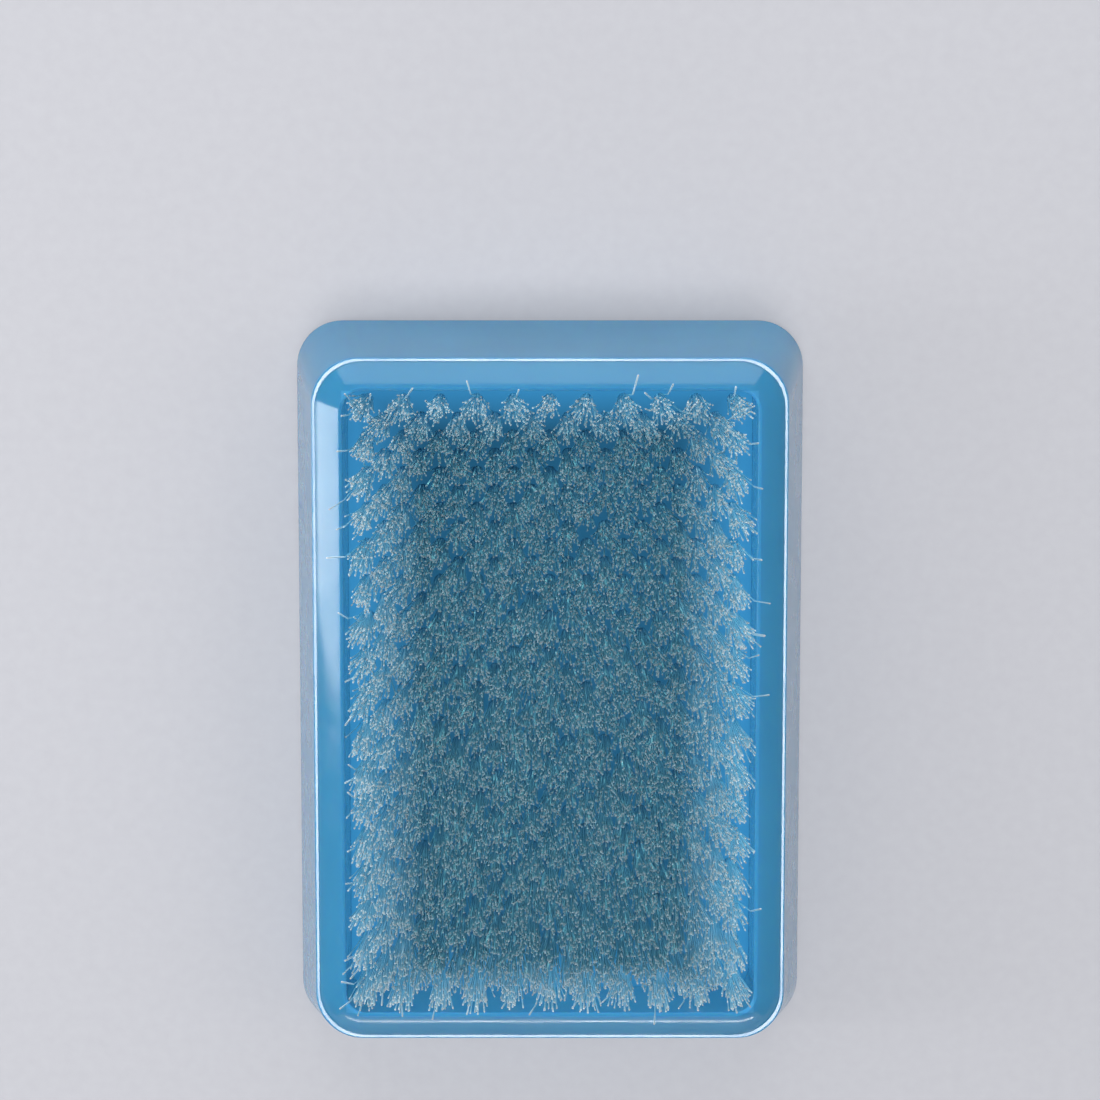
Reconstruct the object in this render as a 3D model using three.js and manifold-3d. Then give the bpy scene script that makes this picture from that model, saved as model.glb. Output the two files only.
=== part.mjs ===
// A brush-type needle felting mat: a moulded tray with a bevelled rim, a brush plate screwed into its recess,
// and rows of nylon tufts that stand up to the rim. Millimetres, +Z up, origin at the middle of the underside.
import * as THREE from 'three';
import { mergeVertices } from 'three/addons/utils/BufferGeometryUtils.js';
import Module from 'manifold-3d';

// Tray: outside
const footprintWidth = 121;
const footprintLength = 173;
const footprintCorner = 11;
const shoulderInset = 6;
const shoulderHeight = 32;
const shoulderCorner = 11;
const bevelWidth = 5.6;
const bevelHeight = 4;
const bevelCrown = 0.35;
const bevelSteps = 5;
const rimLand = 0.8;
const rimCorner = 5.5;
const cornerSteps = 8;

// Tray: inside
const wall = 2.4;
const floorThickness = 2.4;
const recessCorner = 4.6;
const recessDraft = 0.4;
const coreTip = 1.2;
const ribThickness = 1.8;
const longSideRibs = 5;
const shortSideRibs = 3;

// Brush plate and the slice of it that each bank of tufts is fused to
const fitGap = 0.3;
const plateThickness = 5.6;
const sliceThickness = 2.2;

// Tufts: a square lattice with a tuft in the middle of each square
const tuftPitch = 8.65;
const tuftTipGap = 1.6;
const tuftFlare = 2;
const tuftWallGap = 0.5;
const bristleLength = 26;
const rootSink = 1;
const outerLean = 1.6;
const leanPower = 6;
const bankCount = 4;

// Screws
const screwShank = 3;
const screwHead = 5.8;
const screwHeadHeight = 1.9;
const screwHeadClear = 1;
const screwPoint = 1.6;
const screwTipCover = 1.4;
const screwEdge = 12;
const screwSteps = 16;
const driveLength = 3.2;
const driveWidth = 0.8;
const driveDepth = 0.9;

// Cutters run this far past the faces that they open
const pass = 2;

// Heights and insets that follow from the sizes above
const rimHeight = shoulderHeight + bevelHeight;
const rimInset = shoulderInset + bevelWidth + rimLand;
const floorUnderside = screwHeadClear + screwHeadHeight + fitGap;
const floorTop = floorUnderside + floorThickness;
const recessInset = rimInset + recessDraft;
const recessWidth = footprintWidth - 2 * recessInset;
const recessLength = footprintLength - 2 * recessInset;
const plateBottom = floorTop + fitGap;
const sliceBottom = plateThickness + fitGap;
const sliceTop = sliceBottom + sliceThickness;
const screwX = recessWidth / 2 - screwEdge;
const screwY = recessLength / 2 - screwEdge;

const wasm = await Module();
wasm.setup();

// A closed solid from a three.js geometry, with shared corners merged
function solidFrom(geometry) {
  geometry.deleteAttribute('normal');
  geometry.deleteAttribute('uv');
  const merged = mergeVertices(geometry);
  const corners = merged.index.array;
  const triangles = [];
  for (let first = 0; first < corners.length; first += 3) {
    const [a, b, c] = corners.slice(first, first + 3);
    if (a !== b && b !== c && c !== a) {
      triangles.push(a, b, c);
    }
  }
  return new wasm.Manifold(new wasm.Mesh({
    numProp: 3,
    vertProperties: new Float32Array(merged.attributes.position.array),
    triVerts: new Uint32Array(triangles),
  }));
}

function meshFrom(name, solid, material) {
  const { vertProperties, triVerts } = solid.getMesh();
  const geometry = new THREE.BufferGeometry();
  geometry.setAttribute('position', new THREE.BufferAttribute(vertProperties, 3));
  geometry.setIndex(new THREE.BufferAttribute(triVerts, 1));
  geometry.computeVertexNormals();
  const mesh = new THREE.Mesh(geometry, material);
  mesh.name = name;
  return mesh;
}

function blockAt(width, length, height, x, y, z) {
  return solidFrom(new THREE.BoxGeometry(width, length, height).translate(x, y, z));
}

// One level of a loft: the footprint's rectangle drawn in by an inset, with round corners
function ring({ inset, corner, height }) {
  const reachX = footprintWidth / 2 - inset - corner;
  const reachY = footprintLength / 2 - inset - corner;
  const points = [];
  for (const [quarter, sideX, sideY] of [[0, 1, 1], [1, -1, 1], [2, -1, -1], [3, 1, -1]]) {
    for (let step = 0; step <= cornerSteps; step += 1) {
      const angle = (quarter + step / cornerSteps) * (Math.PI / 2);
      const x = sideX * reachX + corner * Math.cos(angle);
      const y = sideY * reachY + corner * Math.sin(angle);
      points.push(new THREE.Vector3(x, y, height));
    }
  }
  return points;
}

// A solid with flat ends that passes through rounded rectangles, from the lowest to the highest
function loft(levels) {
  const rings = levels.map(ring);
  const count = rings[0].length;
  const last = (rings.length - 1) * count;
  const triangles = [];
  for (let level = 0; level < last; level += count) {
    for (let here = 0; here < count; here += 1) {
      const next = (here + 1) % count;
      const above = level + count;
      triangles.push(level + here, level + next, above + next);
      triangles.push(level + here, above + next, above + here);
    }
  }
  for (const [a, b, c] of THREE.ShapeUtils.triangulateShape(rings[0], [])) {
    triangles.push(c, b, a);
    triangles.push(last + a, last + b, last + c);
  }
  const geometry = new THREE.BufferGeometry().setFromPoints(rings.flat());
  geometry.setIndex(triangles);
  return solidFrom(geometry);
}

// The tray's outside: leaning walls, then a crowned bevel up to a narrow land round the recess
function trayOutside() {
  const levels = [{ inset: 0, corner: footprintCorner, height: 0 }];
  const slope = Math.hypot(bevelWidth, bevelHeight);
  for (let step = 0; step <= bevelSteps; step += 1) {
    const share = step / bevelSteps;
    const bulge = bevelCrown * 4 * share * (1 - share);
    levels.push({
      inset: shoulderInset + bevelWidth * share - bulge * (bevelHeight / slope),
      corner: THREE.MathUtils.lerp(shoulderCorner, rimCorner, share),
      height: shoulderHeight + bevelHeight * share + bulge * (bevelWidth / slope),
    });
  }
  return loft(levels);
}

function recess() {
  const top = rimHeight + pass;
  const widening = recessDraft * ((top - floorTop) / (rimHeight - floorTop));
  return loft([
    { inset: recessInset, corner: recessCorner, height: floorTop },
    { inset: recessInset - widening, corner: recessCorner, height: top },
  ]);
}

// The hollow under the rim, between the outer wall and the recess wall, crossed by stiffening ribs
function rimHollow() {
  const innerInset = rimInset - wall;
  const lean = shoulderInset / shoulderHeight;
  const top = Math.min(shoulderHeight - wall, (innerInset - wall - coreTip) / lean);
  const outer = loft([
    { inset: wall - lean * pass, corner: footprintCorner - wall / 2, height: -pass },
    { inset: wall + lean * top, corner: shoulderCorner - wall / 2, height: top },
  ]);
  const core = loft([
    { inset: innerInset, corner: recessCorner + wall, height: -pass },
    { inset: innerInset, corner: recessCorner + wall, height: top + pass },
  ]);
  let hollow = outer.subtract(core);
  const ribTall = 2 * (top + pass);
  for (let rib = 1; rib <= longSideRibs; rib += 1) {
    const y = recessLength * (rib / (longSideRibs + 1) - 0.5);
    hollow = hollow.subtract(blockAt(footprintWidth, ribThickness, ribTall, 0, y, 0));
  }
  for (let rib = 1; rib <= shortSideRibs; rib += 1) {
    const x = recessWidth * (rib / (shortSideRibs + 1) - 0.5);
    hollow = hollow.subtract(blockAt(ribThickness, footprintLength, ribTall, x, 0, 0));
  }
  return hollow;
}

// The shallow room under the floor, crossed by ribs that stand on the table and carry the stabs
function floorHollow() {
  let hollow = loft([
    { inset: recessInset, corner: recessCorner, height: -pass },
    { inset: recessInset, corner: recessCorner, height: floorUnderside },
  ]);
  const ribTall = 2 * (floorUnderside + pass);
  for (const x of [-screwX / 2, 0, screwX / 2]) {
    hollow = hollow.subtract(blockAt(ribThickness, recessLength, ribTall, x, 0, 0));
  }
  for (const y of [-screwY / 2, screwY / 2]) {
    hollow = hollow.subtract(blockAt(recessWidth, ribThickness, ribTall, 0, y, 0));
  }
  return hollow;
}

const screwPlaces = [];
for (const y of [-screwY, 0, screwY]) {
  for (const x of [-screwX, screwX]) {
    screwPlaces.push([x, y]);
  }
}

// An upright round hole for a screw's shank, from a height to a height
function shankHole(x, y, from, to) {
  const radius = screwShank / 2 + fitGap;
  const drill = new THREE.CylinderGeometry(radius, radius, to - from, screwSteps);
  return solidFrom(drill.rotateX(Math.PI / 2).translate(x, y, (from + to) / 2));
}

function baseTray() {
  let tray = trayOutside().subtract(recess()).subtract(rimHollow()).subtract(floorHollow());
  for (const [x, y] of screwPlaces) {
    tray = tray.subtract(shankHole(x, y, floorUnderside - pass, floorTop + pass));
  }
  return tray;
}

// A flat layer that fills the recess, less the fit gap, between two heights
function recessLayer(from, to) {
  const inset = recessInset + fitGap;
  return loft([
    { inset, corner: recessCorner, height: from },
    { inset, corner: recessCorner, height: to },
  ]);
}

// The brush plate, its underside at height 0, with blind holes for the screws
function brushPlate() {
  const holeTop = plateThickness - screwTipCover + fitGap;
  let plate = recessLayer(0, plateThickness);
  for (const [x, y] of screwPlaces) {
    plate = plate.subtract(shankHole(x, y, -pass, holeTop));
  }
  return plate;
}

// Tuft sizes: neighbours face each other across a square's half diagonal
const tuftTipWidth = tuftPitch / Math.SQRT2 - tuftTipGap;
const tuftTipRadius = tuftTipWidth / Math.SQRT2;
const tuftRootRadius = (tuftTipWidth - tuftFlare) / Math.SQRT2;
const tuftEdge = tuftTipRadius + tuftWallGap + fitGap;
const tuftColumns = Math.floor((recessWidth - 2 * tuftEdge) / tuftPitch) + 1;
const tuftRows = Math.floor((recessLength - 2 * tuftEdge) / tuftPitch) + 1;
const rowLines = 2 * tuftRows - 1;
const fieldX = (tuftColumns - 1) * (tuftPitch / 2);
const fieldY = (tuftRows - 1) * (tuftPitch / 2);

// How far a tuft's tip leans out: little in the field, most at its edge, and clear of the recess wall
function leanAt(place, field, recessSpan) {
  const room = recessSpan / 2 - field - tuftTipRadius - tuftWallGap;
  return Math.min(outerLean, room) * Math.sign(place) * Math.abs(place / field) ** leanPower;
}

function tuft(x, y) {
  const height = bristleLength + rootSink;
  const leanX = leanAt(x, fieldX, recessWidth) / height;
  const leanY = leanAt(y, fieldY, recessLength) / height;
  const strand = new THREE.CylinderGeometry(tuftTipRadius, tuftRootRadius, height, 4);
  strand.rotateX(Math.PI / 2).translate(0, 0, height / 2);
  strand.applyMatrix4(new THREE.Matrix4().makeShear(0, 0, 0, 0, leanX, leanY));
  return solidFrom(strand.translate(x, y, sliceTop - rootSink));
}

// The place along the mat of a line of tufts, counted from the near end
function rowPlace(line) {
  return line * (tuftPitch / 2) - fieldY;
}

// One bank: a slice of the plate's top, with its lines of tufts standing on it
function bristleBank(bank) {
  const firstLine = Math.round((bank * rowLines) / bankCount);
  const endLine = Math.round(((bank + 1) * rowLines) / bankCount);
  const atNearEnd = bank === 0;
  const atFarEnd = bank === bankCount - 1;
  const halfStep = tuftPitch / 4 - fitGap / 2;
  const from = atNearEnd ? -footprintLength / 2 : rowPlace(firstLine) - halfStep;
  const to = atFarEnd ? footprintLength / 2 : rowPlace(endLine - 1) + halfStep;
  const band = blockAt(footprintWidth, to - from, 2 * sliceTop + pass, 0, (from + to) / 2, 0);
  let solid = recessLayer(sliceBottom, sliceTop).intersect(band);
  for (let line = firstLine; line < endLine; line += 1) {
    const shortLine = line % 2;
    for (let column = 0; column < tuftColumns - shortLine; column += 1) {
      const x = (column + shortLine / 2) * tuftPitch - fieldX;
      solid = solid.add(tuft(x, rowPlace(line)));
    }
  }
  return solid;
}

// A pan-head screw that stands on its head, with the underside of the head at height 0
function plateScrew() {
  const tip = floorThickness + 2 * fitGap + plateThickness - screwTipCover;
  const profile = new THREE.Path();
  profile.moveTo(0, -screwHeadHeight);
  profile.lineTo(screwHead / 4, -screwHeadHeight);
  profile.quadraticCurveTo(screwHead / 2, -screwHeadHeight, screwHead / 2, -screwHeadHeight / 3);
  profile.lineTo(screwHead / 2, 0);
  profile.lineTo(screwShank / 2, 0);
  profile.lineTo(screwShank / 2, tip - screwPoint);
  profile.lineTo(screwShank / 6, tip);
  profile.lineTo(0, tip);
  const turned = new THREE.LatheGeometry(profile.getPoints(4), screwSteps);
  let screw = solidFrom(turned.rotateX(Math.PI / 2));
  for (const turn of [0, Math.PI / 2]) {
    const bar = new THREE.BoxGeometry(driveLength, driveWidth, 2 * driveDepth);
    screw = screw.subtract(solidFrom(bar.rotateZ(turn).translate(0, 0, -screwHeadHeight)));
  }
  return screw;
}

const blueTrayPlastic = new THREE.MeshStandardMaterial({ color: '#4289b9', roughness: 0.2, metalness: 0 });
const bluePlatePlastic = new THREE.MeshStandardMaterial({ color: '#3a7aad', roughness: 0.4, metalness: 0 });
const clearNylon = new THREE.MeshStandardMaterial({ color: '#c3d3da', roughness: 0.35, metalness: 0 });
const zincSteel = new THREE.MeshStandardMaterial({ color: '#b9bcc0', roughness: 0.4, metalness: 1 });

const mat = new THREE.Group();
mat.add(meshFrom('base_tray', baseTray(), blueTrayPlastic));

const brush = new THREE.Group();
brush.position.z = plateBottom;
brush.add(meshFrom('brush_plate', brushPlate(), bluePlatePlastic));
for (let bank = 0; bank < bankCount; bank += 1) {
  brush.add(meshFrom(`bristle_bank_${bank + 1}`, bristleBank(bank), clearNylon.clone()));
}
mat.add(brush);

const screwSolid = plateScrew();
screwPlaces.forEach(([x, y], place) => {
  const screw = meshFrom(`plate_screw_${place + 1}`, screwSolid, zincSteel.clone());
  screw.position.set(x, y, floorUnderside - fitGap);
  mat.add(screw);
});

export default mat;
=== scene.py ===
# %% [markdown]
# # A brush-type needle felting mat
# Wool is laid on the mat and stabbed with barbed needles, and the bristles let the needle pass without
# breaking it. The mat has four kinds of piece: a glossy moulded tray, a drilled plate that sits in the tray,
# the nylon tufts that stand in the plate's holes, and six screws from below. The measured solids come first,
# as a fixed frame, and every piece of this lesson is built in that frame, in metres.

# %% Load the measured frame
import math

import bmesh
import bpy
import numpy as np
from mathutils import Matrix, Vector
from mathutils.geometry import delaunay_2d_cdt


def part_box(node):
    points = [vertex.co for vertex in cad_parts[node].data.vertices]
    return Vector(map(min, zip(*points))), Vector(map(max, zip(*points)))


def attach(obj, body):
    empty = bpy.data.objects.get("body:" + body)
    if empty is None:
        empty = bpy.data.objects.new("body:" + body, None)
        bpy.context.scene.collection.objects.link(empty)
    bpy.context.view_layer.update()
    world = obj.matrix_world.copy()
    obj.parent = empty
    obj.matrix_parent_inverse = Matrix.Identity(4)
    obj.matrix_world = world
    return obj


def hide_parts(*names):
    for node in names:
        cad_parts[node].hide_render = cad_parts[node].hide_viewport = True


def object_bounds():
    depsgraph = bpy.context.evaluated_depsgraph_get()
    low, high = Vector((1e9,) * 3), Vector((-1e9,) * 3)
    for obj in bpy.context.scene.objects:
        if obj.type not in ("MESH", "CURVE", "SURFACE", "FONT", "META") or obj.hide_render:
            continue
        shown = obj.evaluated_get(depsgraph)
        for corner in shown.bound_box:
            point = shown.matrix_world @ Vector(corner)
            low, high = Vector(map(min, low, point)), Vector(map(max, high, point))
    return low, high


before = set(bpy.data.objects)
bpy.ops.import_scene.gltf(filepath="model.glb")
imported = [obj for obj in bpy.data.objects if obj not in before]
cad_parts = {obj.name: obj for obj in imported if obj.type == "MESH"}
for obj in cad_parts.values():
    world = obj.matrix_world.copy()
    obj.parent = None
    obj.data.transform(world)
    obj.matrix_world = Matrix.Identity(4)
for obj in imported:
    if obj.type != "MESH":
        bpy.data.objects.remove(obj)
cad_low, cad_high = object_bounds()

MM = 0.001
scene = bpy.context.scene
size_mm = [round(side / MM, 1) for side in cad_high - cad_low]
print("solids:", len(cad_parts), "overall size in mm:", size_mm)

# %% [markdown]
# ## Sizes
# The boxes of the solids give most of the sizes, so nothing has to be fitted by eye. What a box can't tell,
# such as the width of the tray's bevel, is named here in millimetres.

# %% Sizes from the frame, and the few that are given
_, tray_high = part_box("base_tray")
plate_low, plate_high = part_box("brush_plate")
bank_low, bank_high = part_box("bristle_bank_1")

FIT_GAP = 0.3 * MM
SLICE = 2.2 * MM
WALL = 2.4 * MM
SHOULDER_INSET = 6 * MM
BEVEL_WIDTH = 5.6 * MM
BEVEL_HEIGHT = 4 * MM
BEVEL_CROWN = 0.35 * MM

half_x, half_y, rim_height = tray_high
recess_inset = half_x - plate_high.x - FIT_GAP
floor_top = plate_low.z - FIT_GAP
shoulder_height = rim_height - BEVEL_HEIGHT
plate_top = bank_low.z + SLICE
tip_height = bank_high.z
print("rim at", round(rim_height / MM, 2), "mm, bristle tips at", round(tip_height / MM, 2), "mm")

# %% [markdown]
# ## Mesh helpers
# The plainest way to model in code is a list of points and a list of faces. Smooth shading with weighted
# normals then keeps large flat faces flat and lets only the small rounds catch the light. A Boolean modifier
# joins or cuts where two shapes meet. It is applied at once, so that what is left is one plain mesh.

# %% Helpers that make, smooth and join objects
def new_piece(name, mesh):
    piece = bpy.data.objects.new(name, mesh)
    scene.collection.objects.link(piece)
    return piece


def piece_from_lists(name, points, faces):
    mesh = bpy.data.meshes.new(name)
    mesh.from_pydata([tuple(point) for point in points], [], [tuple(face) for face in faces])
    mesh.validate()
    return new_piece(name, mesh)


def smooth(piece, sharp_degrees):
    piece.data.shade_smooth()
    piece.data.set_sharp_from_angle(angle=math.radians(sharp_degrees))
    weighted = piece.modifiers.new("flat faces stay flat", "WEIGHTED_NORMAL")
    weighted.keep_sharp = True


def combine(piece, tool, operation):
    """Applies a Boolean with a helper object, which is then deleted."""
    step = piece.modifiers.new(operation.lower(), "BOOLEAN")
    step.operation = operation
    step.solver = "EXACT"
    step.use_self = True
    step.object = tool
    graph = bpy.context.evaluated_depsgraph_get()
    piece.data = bpy.data.meshes.new_from_object(piece.evaluated_get(graph))
    piece.modifiers.clear()
    bpy.data.objects.remove(tool)


# %% [markdown]
# ## The tray
# The tray is one injection moulding: walls that lean in, a ledge, a crowned bevel, a land that falls a little
# inwards, and a deep recess with the mould's draft. The ledge is less than a millimetre wide, but it faces
# straight up, and on glossy plastic it shows as a thin white line all round. The tray could be a box with
# bevels, but its wall thickness, draft and changing corner radius are easier to say as a profile. Each point
# of the profile has an inset from the outline, a height and a corner radius, and stands for one rounded
# rectangle. Skinning the rectangles in order gives the shell, inside and underside included.

# %% The tray's profile, and the size of the round at each edge
BEVEL_STEPS = 10
LEDGE = 0.9 * MM
LAND_FALL = 0.2 * MM
FLOOR = 2.4 * MM
FOOT_CORNER = 11 * MM
SHOULDER_CORNER = 11 * MM
RIM_CORNER = 5.5 * MM
RECESS_CORNER = 4.6 * MM
RECESS_DRAFT = 0.4 * MM
INNER_FOOT_ROUND = 0.3 * MM
FOOT_ROUND = 0.4 * MM
CHANNEL_ROUND = 0.5 * MM
LEDGE_ROUND = 0.25 * MM
BEVEL_ROOT_ROUND = 0.15 * MM
RIM_ROUND = 0.5 * MM

rim_inset = recess_inset - RECESS_DRAFT
core_inset = rim_inset - WALL
lean = SHOULDER_INSET / shoulder_height
channel_top = shoulder_height - WALL


def bevel_point(share):
    """A point on the crowned bevel, from the shoulder at 0 to the land at 1."""
    slope = math.hypot(BEVEL_WIDTH, BEVEL_HEIGHT)
    bulge = BEVEL_CROWN * 4 * share * (1 - share)
    inset = SHOULDER_INSET + BEVEL_WIDTH * share - bulge * BEVEL_HEIGHT / slope
    height = shoulder_height + BEVEL_HEIGHT * share + bulge * BEVEL_WIDTH / slope
    corner = SHOULDER_CORNER + (RIM_CORNER - SHOULDER_CORNER) * share
    return inset, height, corner


# Each row is a point of the profile and the size of the round at that edge
profile = [
    ((recess_inset, floor_top - FLOOR, RECESS_CORNER), 0),
    ((recess_inset, 0, RECESS_CORNER), INNER_FOOT_ROUND),
    ((core_inset, 0, RECESS_CORNER + WALL), INNER_FOOT_ROUND),
    ((core_inset, channel_top, RECESS_CORNER + WALL), CHANNEL_ROUND),
    ((WALL + lean * channel_top, channel_top, SHOULDER_CORNER - WALL / 2), CHANNEL_ROUND),
    ((WALL, 0, FOOT_CORNER - WALL / 2), INNER_FOOT_ROUND),
    ((0, 0, FOOT_CORNER), FOOT_ROUND),
    ((SHOULDER_INSET - LEDGE, shoulder_height, SHOULDER_CORNER), LEDGE_ROUND),
    (bevel_point(0), BEVEL_ROOT_ROUND),
    *[(bevel_point(step / BEVEL_STEPS), 0) for step in range(1, BEVEL_STEPS + 1)],
    ((rim_inset, rim_height - LAND_FALL, RECESS_CORNER), RIM_ROUND),
    ((recess_inset, floor_top, RECESS_CORNER), 0),
]
print("profile:", len(profile), "points")

# %% Small rounds at the profile's edges
ROUND_STEPS = 5


def rounded_profile(rows):
    """Swaps each edge that has a round for a short curve that leaves both of its lines smoothly."""
    points = [np.array(point) for point, _ in rows]
    rounded = [points[0]]
    for before, corner, after, (_, cut) in zip(points, points[1:], points[2:], rows[1:]):
        back, onward = before - corner, after - corner
        start = corner + back * cut / np.linalg.norm(back[:2])
        end = corner + onward * cut / np.linalg.norm(onward[:2])
        shares = np.linspace(0, 1, ROUND_STEPS + 1) if cut else [0]
        for share in shares:
            rounded.append((1 - share) ** 2 * start + 2 * share * (1 - share) * corner + share ** 2 * end)
    return rounded + [points[-1]]


tray_profile = rounded_profile(profile)
print("profile with rounds:", len(tray_profile), "points")

# %% Rounded rectangles, skinned in order
CORNER_STEPS = 14


def rounded_rectangle(reach_x, reach_y, corner):
    """Points anticlockwise round a rectangle with round corners."""
    points = []
    for quarter, (side_x, side_y) in enumerate(((1, 1), (-1, 1), (-1, -1), (1, -1))):
        for step in range(CORNER_STEPS + 1):
            turn = (quarter + step / CORNER_STEPS) * math.pi / 2
            x = side_x * (reach_x - corner) + corner * math.cos(turn)
            y = side_y * (reach_y - corner) + corner * math.sin(turn)
            points.append((x, y))
    return points


def skin(rings):
    """Faces between rings of equally many points, with a cap at both ends."""
    count = len(rings[0])
    points = [point for ring in rings for point in ring]
    faces = []
    for level in range(len(rings) - 1):
        for here in range(count):
            following = (here + 1) % count
            low, high = level * count, (level + 1) * count
            faces.append((low + here, low + following, high + following, high + here))
    faces.append(range(count)[::-1])
    faces.append(range(len(points) - count, len(points)))
    return points, faces


tray_rings = []
for inset, height, corner in tray_profile:
    outline = rounded_rectangle(half_x - inset, half_y - inset, corner)
    tray_rings.append([(x, y, height) for x, y in outline])
tray = piece_from_lists("moulded_tray", *skin(tray_rings))
tray.data.flip_normals()
print("tray shell:", len(tray_rings), "rounded rectangles,", len(tray.data.polygons), "faces")

# %% [markdown]
# Underneath, the tray is hollow to keep the walls thin, so ribs cross the channel under the rim and the low
# room under the floor. They are plain slabs that reach into the walls, joined with a Boolean, and the holes
# for the six screws are cut in the same way.

# %% The ribs
RIB = 1.8 * MM
LONG_SIDE_RIBS = 5
SHORT_SIDE_RIBS = 3

screw_boxes = [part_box(f"plate_screw_{screw}") for screw in range(1, 7)]
screw_places = [((low.x + high.x) / 2, (low.y + high.y) / 2) for low, high in screw_boxes]
screw_x = max(x for x, _ in screw_places)
screw_y = max(y for _, y in screw_places)


def slab(outline, axis, middle):
    """A rib: an outline of (across, up) points, a rib's thickness deep along X (axis 0) or Y (axis 1)."""
    points = []
    for side in (-RIB / 2, RIB / 2):
        for across, up in outline:
            points.append((middle + side, across, up) if axis == 0 else (across, middle + side, up))
    last = len(outline)
    faces = [range(last)[::-1], range(last, 2 * last)]
    for here in range(last):
        following = (here + 1) % last
        faces.append((here, following, last + following, last + here))
    return points, faces


def channel_rib(reach, side):
    """The outline of a rib in the channel under the rim, on one side of the tray."""
    into_wall = WALL / 2
    top = channel_top + into_wall
    inner = reach - core_inset - into_wall
    return [
        (side * inner, 0),
        (side * (reach - into_wall), 0),
        (side * (reach - into_wall - lean * top), top),
        (side * inner, top),
    ]


def floor_rib(reach):
    """The outline of a rib that crosses the low room under the tray's floor."""
    far = reach - recess_inset + WALL / 2
    top = floor_top - FLOOR / 2
    return [(-far, 0), (far, 0), (far, top), (-far, top)]


rib_slabs = []
for side in (-1, 1):
    for rib in range(1, LONG_SIDE_RIBS + 1):
        y = 2 * (half_y - recess_inset) * (rib / (LONG_SIDE_RIBS + 1) - 0.5)
        rib_slabs.append(slab(channel_rib(half_x, side), 1, y))
    for rib in range(1, SHORT_SIDE_RIBS + 1):
        x = 2 * (half_x - recess_inset) * (rib / (SHORT_SIDE_RIBS + 1) - 0.5)
        rib_slabs.append(slab(channel_rib(half_y, side), 0, x))
rib_slabs += [slab(floor_rib(half_y), 0, x) for x in (-screw_x / 2, 0, screw_x / 2)]
rib_slabs += [slab(floor_rib(half_x), 1, y) for y in (-screw_y / 2, screw_y / 2)]
print("ribs:", len(rib_slabs))

# %% Join the ribs to the tray and cut the screw holes
SCREW_HOLE = 3.6 * MM
SCREW_HOLE_STEPS = 32


def joined(name, parts):
    """One object from several (points, faces) pairs."""
    points, faces = [], []
    for part_points, part_faces in parts:
        faces += [[corner + len(points) for corner in face] for face in part_faces]
        points += part_points
    return piece_from_lists(name, points, faces)


def face_outwards(piece):
    """Turns every face of closed shells outwards."""
    work = bmesh.new()
    work.from_mesh(piece.data)
    bmesh.ops.recalc_face_normals(work, faces=work.faces)
    work.to_mesh(piece.data)
    work.free()
    return piece


def screw_hole_cutter(x, y):
    """A round bar that reaches through the tray's floor."""
    turns = np.arange(SCREW_HOLE_STEPS) * 2 * math.pi / SCREW_HOLE_STEPS
    circle = [(x + math.cos(turn) * SCREW_HOLE / 2, y + math.sin(turn) * SCREW_HOLE / 2) for turn in turns]
    return skin([[(a, b, z) for a, b in circle] for z in (floor_top - 2 * FLOOR, floor_top + FLOOR)])


combine(tray, face_outwards(joined("ribs", rib_slabs)), "UNION")
holes = [screw_hole_cutter(x, y) for x, y in screw_places]
combine(tray, face_outwards(joined("screw holes", holes)), "DIFFERENCE")
smooth(tray, sharp_degrees=30)
print("tray with", len(rib_slabs), "ribs and", len(holes), "holes:", len(tray.data.polygons), "faces")

# %% [markdown]
# ## The drilled plate
# The plate is a block of satin plastic with one blind hole for each tuft, and a small countersink that the
# drill leaves. Its sides follow the draft of the recess, so only a hairline shows round it. A Boolean with
# hundreds of holes is slow and makes poor faces. A Delaunay triangulation of the top, with each hole's circle
# as a constraint, is quick and clean, and each hole is then a short stack of rings.

# %% The tuft lattice: long and short lines by turns
TUFT_PITCH = 8.65 * MM
LONG_LINE = 11
LINES = 33
BANKS = 4

field_x = (LONG_LINE - 1) * TUFT_PITCH / 2
field_y = (LINES - 1) * TUFT_PITCH / 4


def line_of_tufts(line):
    """The places of the tufts on one line, counted from the near end."""
    short = line % 2
    y = line * TUFT_PITCH / 2 - field_y
    return [((column + short / 2) * TUFT_PITCH - field_x, y) for column in range(LONG_LINE - short)]


bank_lines = [math.floor(bank * LINES / BANKS + 0.5) for bank in range(BANKS + 1)]
banks = [
    [place for line in range(first, end) for place in line_of_tufts(line)]
    for first, end in zip(bank_lines, bank_lines[1:])
]
all_tufts = np.array([place for bank in banks for place in bank])
print("tufts:", len(all_tufts), "in banks of", [len(bank) for bank in banks])

# %% The plate's top, with the holes left open
HOLE = 2.9 * MM
COUNTERSINK = 0.15 * MM
HOLE_STEPS = 12
PLATE_EDGE = 0.03 * MM
PLATE_TOP_GAP = 0.01 * MM
SAME_POINT = 1e-7
NO_HOLE = -1

draft_share = (plate_top - floor_top) / (rim_height - LAND_FALL - floor_top)
plate_inset = recess_inset - RECESS_DRAFT * draft_share + PLATE_TOP_GAP
plate_x, plate_y = half_x - plate_inset, half_y - plate_inset

turns = np.arange(HOLE_STEPS) * 2 * math.pi / HOLE_STEPS
unit_circle = np.column_stack((np.cos(turns), np.sin(turns)))
border = np.array(rounded_rectangle(plate_x - PLATE_EDGE, plate_y - PLATE_EDGE, RECESS_CORNER))
mouths = all_tufts[:, None, :] + unit_circle * (HOLE / 2 + COUNTERSINK)
flat_points = np.vstack((border, mouths.reshape(-1, 2)))


def loop_edges(first, count):
    return [(first + here, first + (here + 1) % count) for here in range(count)]


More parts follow.
